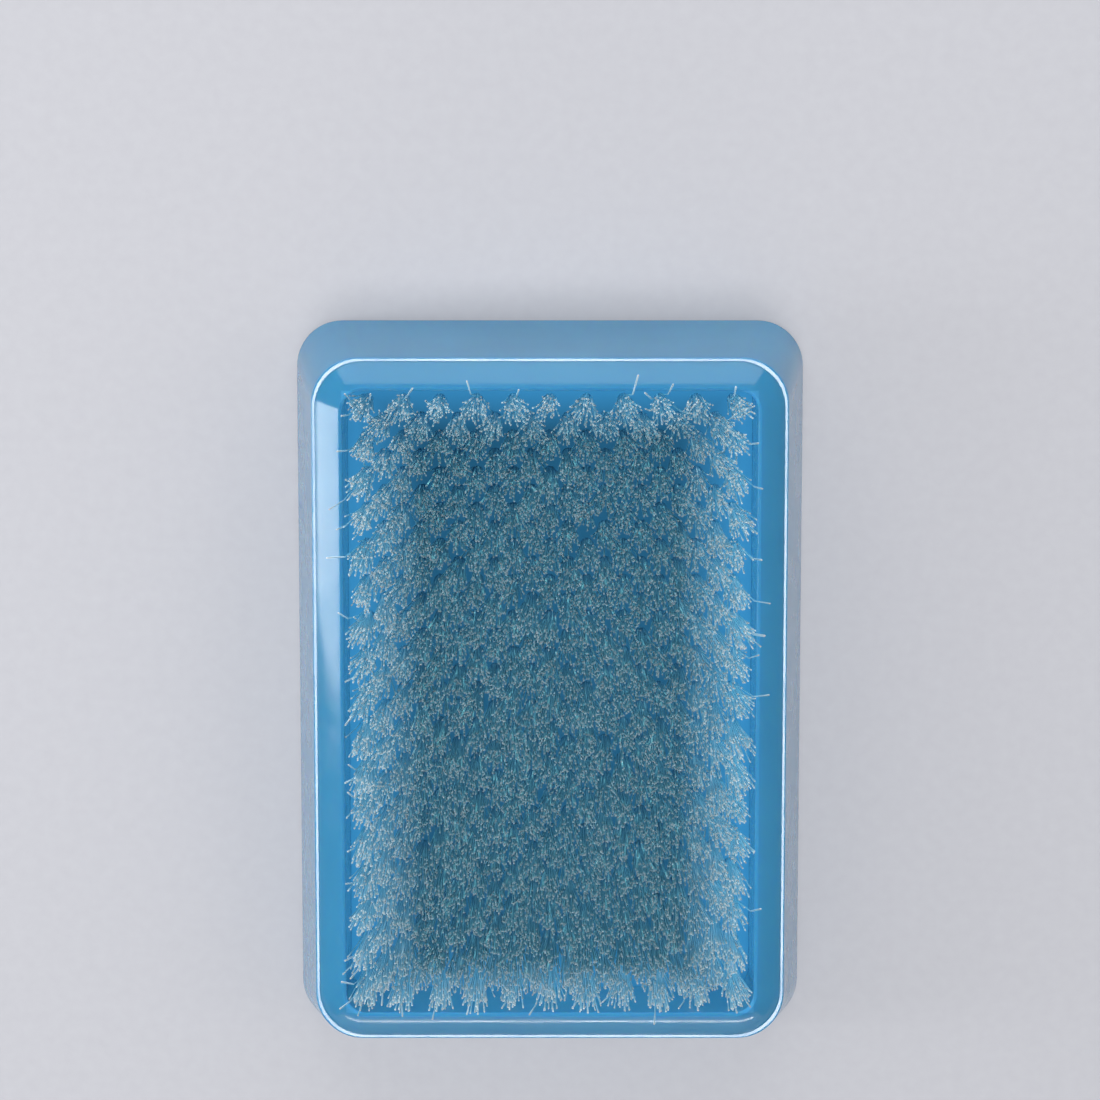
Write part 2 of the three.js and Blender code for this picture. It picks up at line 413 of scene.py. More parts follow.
edges = loop_edges(0, len(border))
for hole in range(len(all_tufts)):
    edges += loop_edges(len(border) + hole * HOLE_STEPS, HOLE_STEPS)
top_points, _, triangles, *_ = delaunay_2d_cdt([Vector(p) for p in flat_points], edges, [], 0, SAME_POINT)
# Which hole each point belongs to. A triangle inside one hole has three points of that hole, and is left out
hole_of_points = np.repeat(np.arange(len(all_tufts)), HOLE_STEPS)
owner = np.concatenate((np.full(len(border), NO_HOLE), hole_of_points))
plate_faces = []
for triangle in triangles:
    owners = set(owner[list(triangle)])
    if len(owners) > 1 or NO_HOLE in owners:
        plate_faces.append(tuple(triangle))
print("plate's top:", len(plate_faces), "triangles")

# %% The plate's holes and sides
HOLE_DEPTH = 5 * MM

plate_points = [(p.x, p.y, plate_top) for p in top_points]


def add_rings(first_loop, rings):
    """Skins rings onto a loop of points that is already there, and caps the last."""
    count = len(first_loop)
    loop = list(first_loop)
    for ring in rings:
        start = len(plate_points)
        plate_points.extend(ring)
        for here in range(count):
            following = (here + 1) % count
            plate_faces.append((loop[here], loop[following], start + following, start + here))
        loop = list(range(start, start + count))
    plate_faces.append(tuple(loop))


for hole, (x, y) in enumerate(all_tufts):
    first = len(border) + hole * HOLE_STEPS
    bore = [(x + c * HOLE / 2, y + s * HOLE / 2) for c, s in unit_circle]
    rings = [[(a, b, plate_top - depth) for a, b in bore] for depth in (COUNTERSINK, HOLE_DEPTH)]
    add_rings(range(first, first + HOLE_STEPS), rings)
side = rounded_rectangle(plate_x, plate_y, RECESS_CORNER)
low_side = rounded_rectangle(plate_high.x, plate_high.y, RECESS_CORNER)
add_rings(range(len(border)), [
    [(x, y, plate_top - PLATE_EDGE) for x, y in side],
    [(x, y, plate_low.z) for x, y in low_side],
])
plate = face_outwards(piece_from_lists("drilled_brush_plate", plate_points, plate_faces))
print("plate:", len(all_tufts), "holes,", len(plate.data.polygons), "faces")

# %% [markdown]
# ## The tufts
# Each tuft is a bundle of clear nylon bristles, folded at its root, pushed into its hole and trimmed. The
# hair system would draw them, but hair isn't a mesh and can't be handed on. So every bristle is a four-sided
# strand on a bending line, and number arrays hold all the lines of a bank at once. The roots fill the hole in
# a sunflower spiral, which spaces them evenly, and the tips spread until the tufts meet. A seeded generator
# gives each tuft its own spread and lean, and the outermost tufts lean out a little.

# %% Roots and tips of the bristles
BRISTLE = 0.34 * MM
BRISTLES_PER_TUFT = 66
GOLDEN_TURN = math.pi * (3 - math.sqrt(5))
ROOT_SPREAD = 1.42 * MM
TIP_SPREAD = 3 * MM
SPREAD_VARIES = 0.08
TIP_SCATTER = 0.6 * MM
TUFT_LEAN = 0.5 * MM
EDGE_LEAN = 0.6 * MM
EDGE_POWER = 5


def bundles(places, draw):
    """Roots and tips of all bristles of the tufts at these places, and how near the edge each one stands."""
    tuft = np.repeat(np.arange(len(places)), BRISTLES_PER_TUFT)
    order = np.tile(np.arange(BRISTLES_PER_TUFT), len(places))
    radius = np.sqrt((order + 0.5) / BRISTLES_PER_TUFT)
    turn = order * GOLDEN_TURN + draw.uniform(0, 2 * math.pi, len(places))[tuft]
    inside = np.column_stack((np.cos(turn), np.sin(turn))) * radius[:, None]
    spread = TIP_SPREAD * draw.normal(1, SPREAD_VARIES, len(places))[tuft]
    places = np.array(places)
    edge = (places / (field_x, field_y)) ** EDGE_POWER
    tuft_lean = EDGE_LEAN * edge + draw.normal(0, TUFT_LEAN, places.shape)
    roots = places[tuft] + inside * ROOT_SPREAD
    tips = places[tuft] + inside * spread[:, None] + tuft_lean[tuft]
    tips += draw.normal(0, TIP_SCATTER, roots.shape)
    return roots, tips, edge[tuft]


print("bristles in a tuft:", BRISTLES_PER_TUFT, "of", round(BRISTLE / MM, 2), "mm")

# %% [markdown]
# No brush is perfect. A few bristles at the edge of the field are strays, which hook outwards near the tip
# and hang over the rim, furthest at the far end. Many others end below the trimmed top, so the field has
# depth. Each bristle also gets a shade, from 0, dark, to 1, pale, and the stray ones are darker. The short
# ones are darker too, by painted shade, because their tips sit deep in the field.

# %% Stray and short bristles, and their shades
STRAY_SHARE = 0.045
STRAY_EDGE = 0.6
STRAY_LEAST = 0.2
STRAY_REACH = 2.5 * MM
FAR_STRAY_REACH = 4.5 * MM
STRAY_SCATTER = 2.2 * MM
STRAY_DIM = 0.3
STRAY_HOOK = 12
HOOK = 2
TRIM = 0.3 * MM
SHORT_SHARE = 0.4
SHORT_BY = 9 * MM
# Painted shade: a short bristle is darker by this much at its shortest, because its tip sits deep in the
# field
SHORT_PAINTED_SHADE = 0.3
TUFT_SHADE = 0.06
SHADE_CURVE = (2, 3)
SHADE_LIMITS = (0.04, 0.96)


def strays(edge, draw):
    """Which bristles are strays, and how far out the tips of those hang."""
    chosen = (draw.random(len(edge)) < STRAY_SHARE)[:, None] & (np.abs(edge) > STRAY_EDGE)
    reach = np.full(edge.shape, STRAY_REACH)
    reach[edge[:, 1] > 0, 1] = FAR_STRAY_REACH
    out = chosen * np.sign(edge) * draw.uniform(STRAY_LEAST, 1, (len(edge), 1)) * reach
    stray = chosen.any(1)
    out += stray[:, None] * draw.normal(0, STRAY_SCATTER, edge.shape)
    return stray, out


def bristle_lines(places, draw):
    """Roots, tips, tip heights, hooks and shades of all bristles of the tufts at these places."""
    roots, tips, edge = bundles(places, draw)
    stray, out = strays(edge, draw)
    count = len(roots)
    height = tip_height - np.abs(draw.normal(0, TRIM, count))
    short = (draw.random(count) < SHORT_SHARE) * ~stray * draw.uniform(0, 1, count)
    height -= short * SHORT_BY
    shade = np.repeat(draw.normal(0, TUFT_SHADE, len(places)), BRISTLES_PER_TUFT)
    # Short bristles get painted shade, darker the deeper their tips sit
    shade += draw.beta(*SHADE_CURVE, count) - SHORT_PAINTED_SHADE * short - STRAY_DIM * stray
    hook = np.where(stray, STRAY_HOOK, HOOK)
    return roots, tips + out, height, hook, shade.clip(*SHADE_LIMITS)


print("share of short bristles:", SHORT_SHARE, "and of strays at the edge:", STRAY_SHARE)

# %% [markdown]
# A strand is a stack of square rings along its line, turned differently from its neighbours. Half of its way
# out is straight and the rest comes late, which bends it. Four rings are enough for so gentle a bend, and
# keep a bank under two hundred thousand triangles. The blade squashes the end, so the last ring is a little
# larger. The rings below it are drawn in to the recess, so that no bristle runs through its wall.

# %% Points of the strands
LEVELS = np.array((0, 0.5, 0.9, 1))
SEGMENTS = len(LEVELS) - 1
SIDES = 4
STRAIGHT = 0.5
TIP_SWELL = 1.25
ROOT_DEPTH = 3 * MM
FREE_RINGS = 1


def kept_inside(places):
    """Draws places in to the recess, a rectangle with round corners, with half a bristle to spare."""
    core = np.array((half_x, half_y)) - recess_inset - RECESS_CORNER
    over = (np.abs(places) - core).clip(0)
    reach = np.linalg.norm(over, axis=-1, keepdims=True)
    over *= np.minimum(1, (RECESS_CORNER - BRISTLE / 2) / reach.clip(BRISTLE))
    return np.sign(places) * (np.abs(places).clip(max=core) + over)


def strand_points(roots, tips, height, hook):
    """The corner points of each strand: bristle, ring, side and coordinate."""
    bend = STRAIGHT * LEVELS + (1 - STRAIGHT) * LEVELS ** hook[:, None]
    foot = plate_top - ROOT_DEPTH
    across = roots[:, None] + (tips - roots)[:, None] * bend[:, :, None]
    across[:, :-FREE_RINGS] = kept_inside(across[:, :-FREE_RINGS])
    up = foot + (height - foot)[:, None] * LEVELS
    middle = np.concatenate((across, up[:, :, None]), -1)
    turn = np.arange(len(roots))[:, None] * GOLDEN_TURN + np.arange(SIDES) * 2 * math.pi / SIDES
    ring = np.stack((np.cos(turn), np.sin(turn), np.zeros(turn.shape)), -1) * BRISTLE / 2
    swell = np.where(LEVELS == 1, TIP_SWELL, 1)
    return middle[:, :, None] + swell[:, None, None] * ring[:, None]


print("points on a strand:", len(LEVELS) * SIDES)

# %% [markdown]
# Lists of a hundred thousand faces are slow, so the arrays go to Blender as they are. A UV map is usually for
# pictures, but here it carries two numbers for the material: across is the bristle's shade, and up is the
# place between root and tip, with the cut end in a band of its own at the top.

# %% One mesh for each bank
SHADE_WIDTH = 0.02
ROOT_EDGE = 0.02
TIP_BAND = 0.9
TIP_PATCH = (TIP_BAND + 0.03, 0.99)
SEED = 7


def strand_quads(count):
    """Faces of all strands: the sides from root to tip, then the cut root and the cut tip."""
    level, side = np.meshgrid(np.arange(SEGMENTS), np.arange(SIDES), indexing="ij")
    here, following = level * SIDES + side, level * SIDES + (side + 1) % SIDES
    walls = np.stack((here, following, following + SIDES, here + SIDES), -1).reshape(-1, SIDES)
    ends = np.array((np.arange(SIDES)[::-1], np.arange(SIDES) + SEGMENTS * SIDES))
    one = np.vstack((walls, ends))
    return (one + np.arange(count)[:, None, None] * SIDES * (SEGMENTS + 1)).reshape(-1, SIDES)


def strand_shades(shade):
    """The UV map of all strands, in the order of their faces."""
    across = np.array((-1, 1, 1, -1)) * SHADE_WIDTH
    levels = ROOT_EDGE + (TIP_BAND - ROOT_EDGE) * LEVELS
    up = [np.repeat(levels[step:step + 2], 2) for step in range(SEGMENTS) for _ in range(SIDES)]
    up += [np.repeat(levels[:2], 2), np.repeat(TIP_PATCH, 2)]
    one = np.stack((np.tile(across, (len(up), 1)), np.array(up)), -1)
    maps = np.tile(one, (len(shade), 1, 1, 1))
    maps[..., 0] += shade[:, None, None]
    return maps


def tuft_bank(name, places, draw):
    """One object with all bristles of the tufts at these places, and its UV map."""
    *lines, shade = bristle_lines(places, draw)
    points = strand_points(*lines).reshape(-1, 3)
    quads = strand_quads(len(shade))
    mesh = bpy.data.meshes.new(name)
    mesh.vertices.add(len(points))
    mesh.vertices.foreach_set("co", points.ravel())
    mesh.loops.add(quads.size)
    mesh.loops.foreach_set("vertex_index", quads.ravel())
    mesh.polygons.add(len(quads))
    mesh.polygons.foreach_set("loop_start", np.arange(0, quads.size, SIDES))
    shade_map = mesh.uv_layers.new(name="OFBake")
    shade_map.data.foreach_set("uv", strand_shades(shade).ravel())
    mesh.update(calc_edges=True)
    smooth_sides = np.ones((len(shade), SEGMENTS * SIDES + 2), bool)
    smooth_sides[:, -2:] = False
    mesh.polygons.foreach_set("use_smooth", smooth_sides.ravel())
    return new_piece(name, mesh)


draw = np.random.default_rng(SEED)
tuft_pieces = [tuft_bank(f"nylon_tufts_{bank + 1}", banks[bank], draw) for bank in range(BANKS)]
print("bristles:", len(all_tufts) * BRISTLES_PER_TUFT)
print("faces in each bank:", [len(piece.data.polygons) for piece in tuft_pieces])

# %% [markdown]
# ## The screws
# Self-tapping screws pull the plate down on the tray's floor, because the barbs of the needles pull it up. A
# screw is a turned shape, so it is a stack of rings: a domed head, a shank whose rings swell and shrink with
# the turn to make the thread, and a point. The cross in the head is cut with a Boolean.

# %% The screw's rings
SCREW_STEPS = 40
HEAD = 5.8 * MM
HEAD_HEIGHT = 1.9 * MM
HEAD_RINGS = 9
HEAD_FLAT = 0.55
DOME_SHARE = 0.7
CORE = 2.3 * MM
THREAD = 3 * MM
THREAD_PITCH = 1.3 * MM
RIDGE_SHARE = 0.3
RINGS_PER_PITCH = 10
SHANK_START = 0.02 * MM
POINT = 1.6 * MM
POINT_WIDTH = CORE / 4

screw_low, screw_high = screw_boxes[0][0].z, screw_boxes[0][1].z
seat = screw_low + HEAD_HEIGHT


def screw_ring(z, radius_at):
    turns = np.arange(SCREW_STEPS) * 2 * math.pi / SCREW_STEPS
    return [(radius_at(turn) * math.cos(turn), radius_at(turn) * math.sin(turn), z) for turn in turns]


def thread_radius(z):
    """The radius round the shank at one height: a ridge that climbs one pitch in each turn."""
    fade = min(1, (screw_high - z) / POINT)

    def radius(turn):
        across = (z / THREAD_PITCH - turn / (2 * math.pi)) % 1
        ridge = max(0, 1 - abs(across - 0.5) / RIDGE_SHARE)
        return (fade * (CORE + (THREAD - CORE) * ridge) + (1 - fade) * POINT_WIDTH) / 2
    return radius


screw_rings = []
for share in np.linspace(0, 1, HEAD_RINGS):
    rise = HEAD_HEIGHT * DOME_SHARE * math.sin(share * math.pi / 2)
    wide = HEAD / 2 * (1 - (1 - HEAD_FLAT) * (1 - share) ** 2)
    screw_rings.append(screw_ring(screw_low + rise, lambda turn, wide=wide: wide))
screw_rings.append(screw_ring(seat, lambda turn: HEAD / 2))
for z in np.arange(seat + SHANK_START, screw_high, THREAD_PITCH / RINGS_PER_PITCH):
    screw_rings.append(screw_ring(z, thread_radius(z)))
screw = face_outwards(piece_from_lists("pan_head_screw_1", *skin(screw_rings)))
print("screw:", len(screw_rings), "rings,", round((screw_high - screw_low) / MM, 1), "mm long")

# %% The cross drive, and a screw at each hole
SQUARE = ((-1, -1), (1, -1), (1, 1), (-1, 1))
DRIVE_LENGTH = 3.2 * MM
DRIVE_WIDTH = 0.8 * MM
DRIVE_DEPTH = 0.9 * MM

bars = []
for reach_x, reach_y in ((DRIVE_LENGTH / 2, DRIVE_WIDTH / 2), (DRIVE_WIDTH / 2, DRIVE_LENGTH / 2)):
    levels = (screw_low - DRIVE_DEPTH, screw_low + DRIVE_DEPTH)
    bars.append(skin([[(x * reach_x, y * reach_y, z) for x, y in SQUARE] for z in levels]))
combine(screw, face_outwards(joined("cross drive", bars)), "DIFFERENCE")
screw_pieces = [screw]
for number in range(2, len(screw_places) + 1):
    screw_pieces.append(new_piece(f"pan_head_screw_{number}", screw.data.copy()))
for piece, (x, y) in zip(screw_pieces, screw_places):
    piece.data.transform(Matrix.Translation((x, y, 0)))
    smooth(piece, sharp_degrees=35)
print("screws:", len(screw_pieces), "of", len(screw.data.polygons), "faces")

# %% [markdown]
# ## Materials
# Each finish starts from the real stuff. Colours are sRGB hex values, turned to linear light once. One small
# function adds a node, sets its values and makes its links, so a material reads as a short list of nodes.

# %% Helpers for materials
def linear(hex_colour):
    """An sRGB hex colour as linear red, green, blue and alpha."""
    channels = [int(hex_colour[at:at + 2], 16) / 255 for at in (1, 3, 5)]
    return [c / 12.92 if c <= 0.04045 else ((c + 0.055) / 1.055) ** 2.4 for c in channels] + [1]


def add_node(tree, kind, inputs=(), **settings):
    """Adds a node. An input's value is a socket to link, or a plain value to set."""
    node = tree.nodes.new(kind)
    for name, value in settings.items():
        setattr(node, name, value)
    for name, value in dict(inputs).items():
        if isinstance(value, bpy.types.NodeSocket):
            tree.links.new(value, node.inputs[name])
        else:
            node.inputs[name].default_value = value
    return node


def new_material(name):
    """An empty material: its node tree, its shader and the coordinates of the object in metres."""
    material = bpy.data.materials.new(name)
    material.use_nodes = True
    tree = material.node_tree
    shader = tree.nodes["Principled BSDF"]
    place = add_node(tree, "ShaderNodeTexCoord").outputs["Object"]
    return material, tree, shader, place


def per(size):
    """The scale of a pattern whose marks are this size, in metres."""
    return 1 / size


def finish_piece(piece, material, node):
    """Gives a piece its material and slot, and lets it ride on the one body in place of a measured solid."""
    piece.data.materials.clear()
    piece.data.materials.append(material)
    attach(piece, "root")
    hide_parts(node)


print("mid grey #808080 in linear light:", round(linear("#808080")[0], 3))

# %% [markdown]
# ### Injection-moulded ABS, glossy blue
# A polished mould gives ABS a wet gloss with a very faint waviness, called orange peel. Dye is even, but
# thick and thin places differ a little in depth of colour, and handling leaves faint rubbed patches that
# soften the reflections. Light goes a few millimetres into the plastic, blue further than red, and comes out
# again, which keeps the shaded sides bright: that is the subsurface part. The walls of the recess get a paler
# tint, for the light that clear bristles pass on to them and that the opaque strands here don't.

# %% The tray's plastic
BORDER = (18 * MM, 12 * MM)
# Border shares: where the paler colours are full, and between which the tint of the recess's walls fades in
BORDER_END = 0.95
RECESS_WALL = (1.01, 1)


def border_share(tree, place):
    """How far out a point lies in the border of the recess: 0 at the border's inner edge, 1 at the rim."""
    inner = (half_x - rim_inset - BORDER[0], half_y - rim_inset - BORDER[1], 0)
    vector = place
    for operation, value in (("ABSOLUTE", (0, 0, 0)), ("SUBTRACT", inner), ("DIVIDE", (*BORDER, 1))):
        step = add_node(tree, "ShaderNodeVectorMath", {0: vector, 1: value}, operation=operation)
        vector = step.outputs["Vector"]
    axes = add_node(tree, "ShaderNodeSeparateXYZ", {"Vector": vector})
    both = {0: axes.outputs["X"], 1: axes.outputs["Y"]}
    return add_node(tree, "ShaderNodeMath", both, operation="MAXIMUM").outputs["Value"]


def moulded_abs():
    material, tree, shader, place = new_material("moulded_abs_gloss_blue")
    cloud = add_node(tree, "ShaderNodeTexNoise", {"Vector": place, "Scale": per(28 * MM), "Detail": 2})
    colour = add_node(tree, "ShaderNodeValToRGB", {"Fac": cloud.outputs["Fac"]})
    colour.color_ramp.elements[0].position = 0.3
    colour.color_ramp.elements[0].color = linear("#296f93")
    colour.color_ramp.elements[1].position = 0.7
    colour.color_ramp.elements[1].color = linear("#2d7498")
    recess = add_node(tree, "ShaderNodeMapRange", {
        "Value": border_share(tree, place), "From Min": RECESS_WALL[0], "From Max": RECESS_WALL[1]})
    tint = add_node(tree, "ShaderNodeMix", {
        "Factor": recess.outputs["Result"],
        "A": colour.outputs["Color"],
        "B": linear("#367ba1"),
    }, data_type="RGBA")
    rub = add_node(tree, "ShaderNodeTexNoise", {"Vector": place, "Scale": per(9 * MM), "Detail": 5})
    gloss = add_node(tree, "ShaderNodeMapRange", {
        "Value": rub.outputs["Fac"], "From Min": 0.4, "From Max": 0.75, "To Min": 0.1, "To Max": 0.2})
    peel = add_node(tree, "ShaderNodeTexNoise", {"Vector": place, "Scale": per(2.5 * MM), "Detail": 1})
    bump = add_node(tree, "ShaderNodeBump", {
        "Height": peel.outputs["Fac"], "Strength": 0.12, "Distance": 0.01 * MM})
    tree.links.new(tint.outputs["Result"], shader.inputs["Base Color"])
    tree.links.new(gloss.outputs["Result"], shader.inputs["Roughness"])
    tree.links.new(bump.outputs["Normal"], shader.inputs["Normal"])
    shader.inputs["IOR"].default_value = 1.53
    shader.inputs["Subsurface Weight"].default_value = 0.8
    shader.inputs["Subsurface Radius"].default_value = (0.8, 2.5, 5)
    shader.inputs["Subsurface Scale"].default_value = 1 * MM
    return material


finish_piece(tray, moulded_abs(), "base_tray")
print("tray:", tray.data.materials[0].name)

# %% [markdown]
# ### Moulded and drilled polypropylene, satin blue
# Polypropylene from a plain mould is waxy and half matt, and drilling scuffs it a little round the holes. The
# plate lies in the shade of the tufts and is paler towards its edges, where light comes in over the rim. The
# strands cast no shadow here, as the next step says, so the colour carries that shade.

# %% The plate's plastic
def drilled_polypropylene():
    material, tree, shader, place = new_material("drilled_polypropylene_satin_blue")
    cloud = add_node(tree, "ShaderNodeTexNoise", {"Vector": place, "Scale": per(6 * MM), "Detail": 3})
    colour = add_node(tree, "ShaderNodeValToRGB", {"Fac": cloud.outputs["Fac"]})
    colour.color_ramp.elements[0].color = linear("#0d435f")
    colour.color_ramp.elements[1].color = linear("#114a68")
    border = add_node(tree, "ShaderNodeMapRange", {
        "Value": border_share(tree, place), "From Max": BORDER_END})
    tint = add_node(tree, "ShaderNodeMix", {
        "Factor": border.outputs["Result"],
        "A": colour.outputs["Color"],
        "B": linear("#2c79a6"),
    }, data_type="RGBA")
    scuff = add_node(tree, "ShaderNodeTexNoise", {"Vector": place, "Scale": per(0.7 * MM), "Detail": 4})
    gloss = add_node(tree, "ShaderNodeMapRange", {
        "Value": scuff.outputs["Fac"], "To Min": 0.55, "To Max": 0.75})
    bump = add_node(tree, "ShaderNodeBump", {
        "Height": scuff.outputs["Fac"], "Strength": 0.3, "Distance": 0.03 * MM})
    tree.links.new(tint.outputs["Result"], shader.inputs["Base Color"])
    tree.links.new(gloss.outputs["Result"], shader.inputs["Roughness"])
    tree.links.new(bump.outputs["Normal"], shader.inputs["Normal"])
    shader.inputs["IOR"].default_value = 1.49
    shader.inputs["Specular IOR Level"].default_value = 0.1
    return material


finish_piece(plate, drilled_polypropylene(), "brush_plate")
print("plate:", plate.data.materials[0].name)

# %% [markdown]
# ### Drawn nylon, clear, with cut tips
# A drawn filament is smooth and clear, so its side takes the blue of what stands behind it. The blade that
# trims the tuft leaves a frosted end that scatters light, and from above a tuft reads as a crowd of pale
# dots. Real clear strands would need many bounces of light through thousands of them, which is slow and
# noisy. So the strands are opaque, with the colours that the eye would see, light and shade painted in: one
# ramp from root to cut end with painted shade for the middle of the field, and a paler one with painted
# light for its border. Light scatters under their surface, and they cast no shadow and stay out of bounced
# light, so a tuft is as bright inside as clear nylon is. The UV map's shade makes the cut ends differ much
# and the sides little, and a stray that hangs past the rim gets painted light.

# %% The bristles' nylon
# The ramps hold painted shade in the middle and painted light at the border, and the stop at the roots is
# painted light
STOPS = (0.14, 0.35, 0.7, 0.865, TIP_BAND, TIP_BAND + 0.02)
MIDDLE_NYLON = ("#2a6483", "#245469", "#224c5e", "#254a57", "#2f4c56", "#3f515a")
BORDER_NYLON = ("#54b4dc", "#4d9bbc", "#4f8fad", "#597e90", "#647981", "#7b888d")
SIDE_TONES = (0.82, 1.12)
TIP_TONES = (0.55, 1.4)
# Painted light: a stray that hangs past the rim is made paler by this factor
PAST_RIM_PAINTED_LIGHT = 1.15
STRAY_END = 1.25


def root_to_tip(tree, height, hex_colours):
    """The colour at each height of a bristle."""
    colour = add_node(tree, "ShaderNodeValToRGB", {"Fac": height})
    ramp = colour.color_ramp.elements
    for number, (position, hex_colour) in enumerate(zip(STOPS, hex_colours)):
        stop = ramp[number] if number < 2 else ramp.new(position)
        stop.position = position
        stop.color = linear(hex_colour)
    return colour.outputs["Color"]


def bristle_tone(tree, shade, height, outwards):
    """How bright a bristle is by its own shade, which shows more at the cut end, with painted light past the
    rim.
    """
    limits = []
    for side_tone, tip_tone in zip(SIDE_TONES, TIP_TONES):
        limit = add_node(tree, "ShaderNodeMapRange", {
            "Value": height, "From Min": TIP_BAND, "From Max": STOPS[-1],
            "To Min": side_tone, "To Max": tip_tone})
        limits.append(limit.outputs["Result"])
    own = add_node(tree, "ShaderNodeMapRange", {"Value": shade, "To Min": limits[0], "To Max": limits[1]})
    past_rim = add_node(tree, "ShaderNodeMapRange", {
        "Value": outwards, "From Min": 1, "From Max": STRAY_END, "To Min": 1, "To Max": PAST_RIM_PAINTED_LIGHT})
    both = {0: own.outputs["Result"], 1: past_rim.outputs["Result"]}
    return add_node(tree, "ShaderNodeMath", both, operation="MULTIPLY").outputs["Value"]


def drawn_nylon():
    material, tree, shader, place = new_material("drawn_nylon_clear")
    shades = add_node(tree, "ShaderNodeUVMap", uv_map="OFBake")
    axes = add_node(tree, "ShaderNodeSeparateXYZ", {"Vector": shades.outputs["UV"]})
    shade, height = axes.outputs["X"], axes.outputs["Y"]
    outwards = border_share(tree, place)
    border = add_node(tree, "ShaderNodeMapRange", {"Value": outwards, "From Max": BORDER_END})
    tint = add_node(tree, "ShaderNodeMix", {
        "Factor": border.outputs["Result"],
        "A": root_to_tip(tree, height, MIDDLE_NYLON),
        "B": root_to_tip(tree, height, BORDER_NYLON),
    }, data_type="RGBA")
    shaded = add_node(tree, "ShaderNodeVectorMath", {
        0: tint.outputs["Result"],
        "Scale": bristle_tone(tree, shade, height, outwards),
    }, operation="SCALE")
    tree.links.new(shaded.outputs["Vector"], shader.inputs["Base Color"])
    shader.inputs["Roughness"].default_value = 0.5
    shader.inputs["IOR"].default_value = 1.53
    shader.inputs["Specular IOR Level"].default_value = 0.2
    shader.inputs["Subsurface Weight"].default_value = 1
    shader.inputs["Subsurface Radius"].default_value = (1, 1, 1)
    shader.inputs["Subsurface Scale"].default_value = 1 * MM
    return material


nylon = drawn_nylon()
for bank, piece in enumerate(tuft_pieces, start=1):
    finish_piece(piece, nylon, f"bristle_bank_{bank}")
    piece.visible_shadow = False
    piece.visible_diffuse = False
print("tufts:", nylon.name)

# %% [markdown]
# ### Zinc-plated steel
# Bright zinc over steel is a cool grey metal with a fine crystalline mottle and small rub marks.

# %% The screws' plating
def zinc_plated_steel():
    material, tree, shader, place = new_material("zinc_plated_steel")
    mottle = add_node(tree, "ShaderNodeTexVoronoi", {"Vector": place, "Scale": per(0.5 * MM)})
    colour = add_node(tree, "ShaderNodeValToRGB", {"Fac": mottle.outputs["Color"]})
    colour.color_ramp.elements[0].color = linear("#b3b8bd")
    colour.color_ramp.elements[1].color = linear("#d3d6d8")
    rub = add_node(tree, "ShaderNodeTexNoise", {"Vector": place, "Scale": per(0.9 * MM), "Detail": 4})
    gloss = add_node(tree, "ShaderNodeMapRange", {
        "Value": rub.outputs["Fac"], "To Min": 0.22, "To Max": 0.45})
    tree.links.new(colour.outputs["Color"], shader.inputs["Base Color"])
    tree.links.new(gloss.outputs["Result"], shader.inputs["Roughness"])
    shader.inputs["Metallic"].default_value = 1
    return material


zinc = zinc_plated_steel()
for number, piece in enumerate(screw_pieces, start=1):
    finish_piece(piece, zinc, f"plate_screw_{number}")
print("screws:", zinc.name)

# %% [markdown]
# ## Floor
# The mat stands on matt white board, far larger than the picture, so the board's edge never shows.

# %% The floor
FLOOR_REACH = 4

floor = piece_from_lists(
    "floor",
    [(x * FLOOR_REACH, y * FLOOR_REACH, 0) for x, y in SQUARE],
    [(0, 1, 2, 3)],
)
floor_material, floor_tree, floor_shader, floor_place = new_material("matt_white_board")
grain = add_node(floor_tree, "ShaderNodeTexNoise", {"Vector": floor_place, "Scale": per(3 * MM)})
paleness = add_node(floor_tree, "ShaderNodeValToRGB", {"Fac": grain.outputs["Fac"]})
paleness.color_ramp.elements[0].color = linear("#9b9ba0")
paleness.color_ramp.elements[1].color = linear("#a1a1a6")
floor_tree.links.new(paleness.outputs["Color"], floor_shader.inputs["Base Color"])
floor_shader.inputs["Roughness"].default_value = 0.9
floor.data.materials.append(floor_material)
print("floor:", 2 * FLOOR_REACH, "m square")

# %% [markdown]
# ## Light
# Glossy plastic looks like what it mirrors, so most lights are placed for one thing that shows. The overhead
# softbox gives the even light, and the ledge mirrors it as the white line. The softbox at the left draws the
# long strip on the left bevel, rolled a little so that the strip tapers. The near panel and strip are the
# sheen and the line on the near bevel, and the far softbox is the sheen on the far one. A real mirror image
# needs a light of the right shape, which is why none of these is a point or a sun.

# %% Lights that show in the plastic
def softbox(name, place, aim, width, height, radiance, roll=0):
    """A soft rectangular light. Its power follows from how bright its face should look."""
    lamp = bpy.data.lights.new(name, "AREA")
    lamp.shape = "RECTANGLE"
    lamp.size, lamp.size_y = width, height
    lamp.energy = radiance * math.pi * width * height
    light = bpy.data.objects.new(name, lamp)
    light.location = place
    light.rotation_euler = (Vector(aim) - Vector(place)).to_track_quat("-Z", "Y").to_euler()
    light.rotation_euler.rotate_axis("Z", math.radians(roll))
    scene.collection.objects.link(light)
    return light


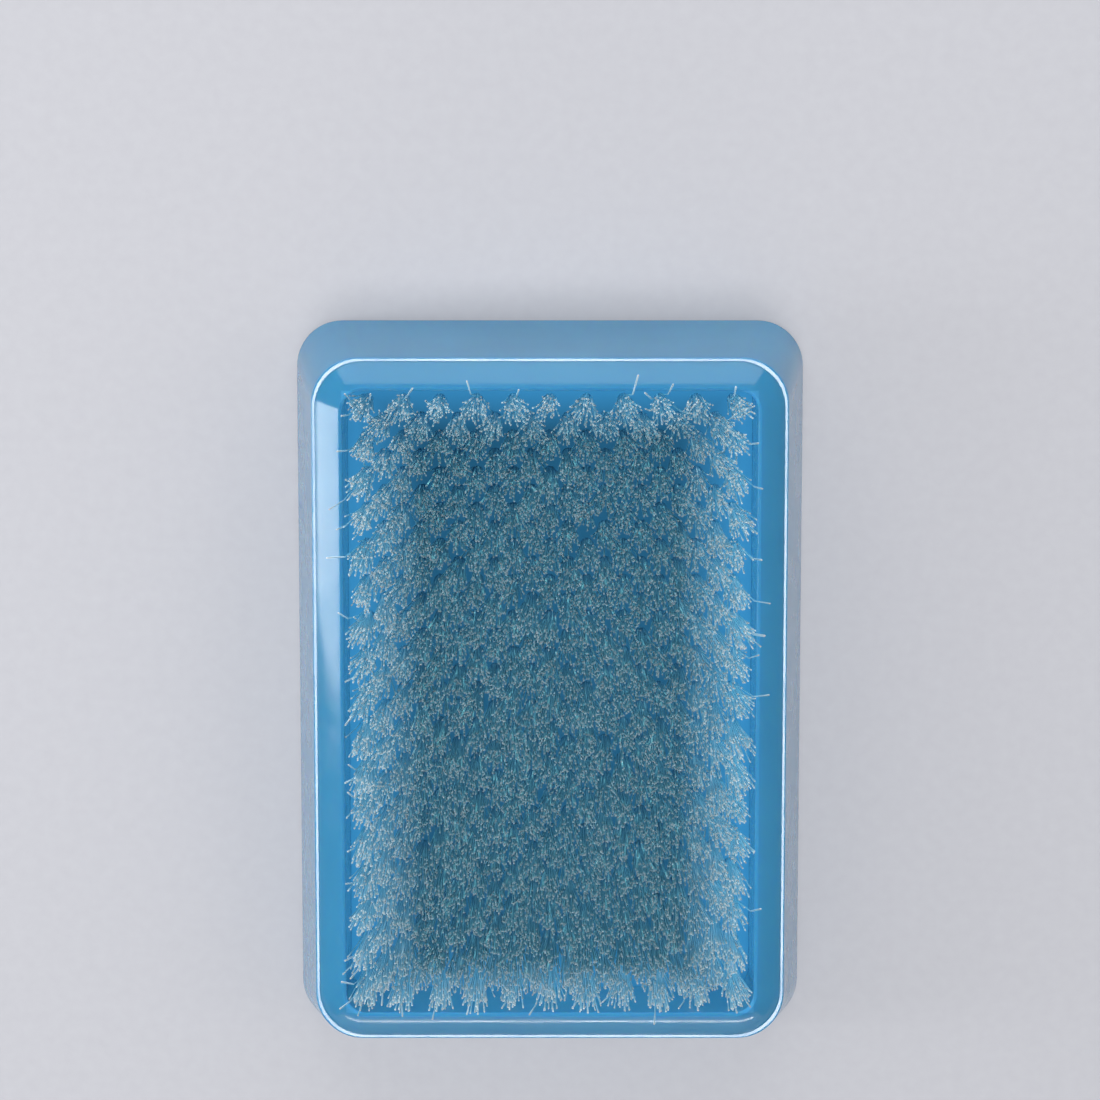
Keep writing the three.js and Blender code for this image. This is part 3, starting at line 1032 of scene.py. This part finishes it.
softbox("overhead softbox", (0, -0.3, 1.5), (0, 0, 0), 0.44, 0.62, radiance=16)
softbox("left softbox", (-0.66, -0.03, 0.25), (0, -0.03, 0.25), 0.18, 0.5, radiance=7.8, roll=-7.5)
softbox("near panel", (0, -1, 0.2), (0, 0, 0.2), 1.6, 0.5, radiance=0.65)
softbox("near strip", (0, -0.98, 0.28), (0, 0, 0.03), 1.2, 0.04, radiance=13)
softbox("far softbox", (0, 1, 0.45), (0, 0, 0.45), 1.6, 0.9, radiance=1.85)

# %% [markdown]
# Light finds its way down into clear bristles from every side. Three fills stand for it: they cast no shadow,
# so the rim doesn't darken the outer tufts, and they show in no reflection. The sky is a faint cool grey.

# %% Fills for the bristles, and the sky
FILL_SIZE = (0.8, 1.2)
FILLS = {
    "left fill": ((-1.1, 0, 0.85), 2.1),
    "right fill": ((1.1, 0, 0.85), 1.5),
    "far fill": ((0, 1.1, 0.85), 4.2),
}
for name, (place, radiance) in FILLS.items():
    fill = softbox(name, place, (0, 0, 0), *FILL_SIZE, radiance)
    fill.visible_glossy = False
    fill.data.use_shadow = False

world = bpy.data.worlds.new("studio")
world.use_nodes = True
sky = world.node_tree.nodes["Background"]
sky.inputs["Color"].default_value = linear("#dfe3e8")
sky.inputs["Strength"].default_value = 0.35
scene.world = world
scene.view_settings.view_transform = "Standard"
print("fills:", list(FILLS))

# %% [markdown]
# ## Camera
# The camera looks down from high over the far end, a few degrees off upright, with a long lens that keeps the
# sides of the tray nearly parallel. It aims past the middle of the mat, so the mat lies low in the picture.

# %% The camera
TILT = math.radians(9.66)
DISTANCE = 1.0
AIM = Vector((0, 34.25 * MM, 20 * MM))
LENS = 138.7

camera_data = bpy.data.cameras.new("camera")
camera_data.lens = LENS
camera = bpy.data.objects.new("camera", camera_data)
back = Vector((0, math.sin(TILT), math.cos(TILT)))
up = Vector((0, math.cos(TILT), -math.sin(TILT)))
turned = Matrix((Vector((1, 0, 0)), up, back)).transposed().to_4x4()
camera.matrix_world = Matrix.Translation(AIM + back * DISTANCE) @ turned
scene.collection.objects.link(camera)
scene.camera = camera
print("camera at", [round(value, 3) for value in camera.matrix_world.translation])
